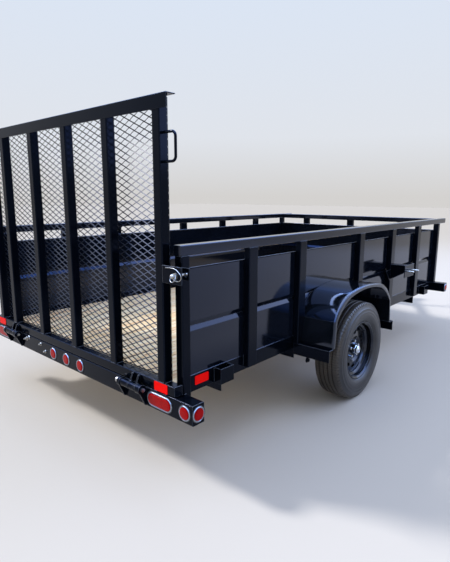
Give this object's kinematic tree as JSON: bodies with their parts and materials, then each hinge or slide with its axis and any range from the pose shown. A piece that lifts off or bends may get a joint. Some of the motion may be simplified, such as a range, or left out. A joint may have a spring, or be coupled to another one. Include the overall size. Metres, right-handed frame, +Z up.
{
  "type": "utility trailer",
  "caption": "Open single-axle utility trailer with solid steel sides, plank deck, mesh ramp gate, tube bumper with lamps, A-frame tongue and jack.",
  "frame": {"origin": "on the ground, under the middle of the whole trailer's length and width", "axes": "+X forward to the coupler, +Y to the trailer's left, +Z up"},
  "size_m": [4.9988, 2.4498, 1.837],
  "materials": {
    "frame_paint": "satin black powder coat",
    "panel_paint": "satin black powder coat on sheet",
    "mesh_paint": "black paint on expanded steel",
    "deck_wood": "new treated pine",
    "zinc_steel": "zinc plated",
    "handle_paint": "satin black",
    "lamp_bezel": "grey moulded ring",
    "lamp_red": "clear red lens",
    "reflector_red": "red reflective tape",
    "tyre_rubber": "black rubber",
    "rim_black": "gloss black enamel",
    "hub_grey": "painted casting",
    "nut_chrome": "bright"
  },
  "bodies": {
    "chassis": {"side_rail_left": "frame_paint", "side_rail_right": "frame_paint", "front_bar": "frame_paint", "rear_sill": "frame_paint", "crossmembers": "frame_paint", "bumper": "frame_paint", "side_posts_left": "frame_paint", "side_posts_right": "frame_paint", "top_rail_left": "frame_paint", "top_rail_right": "frame_paint", "top_rail_front": "frame_paint", "front_uprights": "frame_paint", "stake_pockets_left": "frame_paint", "stake_pockets_right": "frame_paint", "fender_supports": "frame_paint", "spare_bracket": "frame_paint", "axle": "frame_paint", "leaf_springs": "frame_paint", "spring_hangers": "frame_paint", "tongue_left": "frame_paint", "tongue_right": "frame_paint", "coupler": "frame_paint", "jack_plate": "frame_paint", "hinge_ears": "frame_paint", "latch_lugs": "frame_paint", "side_panel_left": "panel_paint", "side_panel_right": "panel_paint", "front_panel": "panel_paint", "fender_left": "panel_paint", "fender_right": "panel_paint", "deck_boards": "deck_wood", "axle_clamps": "zinc_steel", "hinge_pins": "zinc_steel", "spare_studs": "zinc_steel", "coupler_latch": "zinc_steel", "jack_tube": "zinc_steel", "jack_crank": "zinc_steel", "lamp_rings": "lamp_bezel", "lamp_lenses": "lamp_red", "side_reflectors": "reflector_red"},
    "gate": {"gate_top_rail": "frame_paint", "gate_sill": "frame_paint", "gate_posts": "frame_paint", "gate_mesh": "mesh_paint", "gate_reflectors": "reflector_red", "gate_sleeves": "frame_paint", "gate_handles": "handle_paint", "latch_plates": "frame_paint", "latch_pins": "zinc_steel"},
    "wheel_left": {"tyre_left": "tyre_rubber", "rim_left": "rim_black", "hub_left": "hub_grey", "lug_nuts_left": "nut_chrome"},
    "wheel_right": {"tyre_right": "tyre_rubber", "rim_right": "rim_black", "hub_right": "hub_grey", "lug_nuts_right": "nut_chrome"},
    "jack_leg": {"jack_leg": "zinc_steel", "jack_foot": "zinc_steel"}
  },
  "joints": [
    {"name": "gate_hinge", "type": "hinge", "parent": "chassis", "child": "gate", "pos_m": [-2.4744, 0, 0.443], "axis": [0, -1, 0], "range_deg": [0, 109]},
    {"name": "wheel_left_spin", "type": "hinge", "parent": "chassis", "child": "wheel_left", "pos_m": [-0.8906, 1.12, 0.343], "axis": [0, 1, 0], "continuous": true},
    {"name": "wheel_right_spin", "type": "hinge", "parent": "chassis", "child": "wheel_right", "pos_m": [-0.8906, -1.12, 0.343], "axis": [0, 1, 0], "continuous": true},
    {"name": "jack_slide", "type": "slide", "parent": "chassis", "child": "jack_leg", "axis": [0, 0, 1], "range_m": [-0.054, 0.2]}
  ]
}
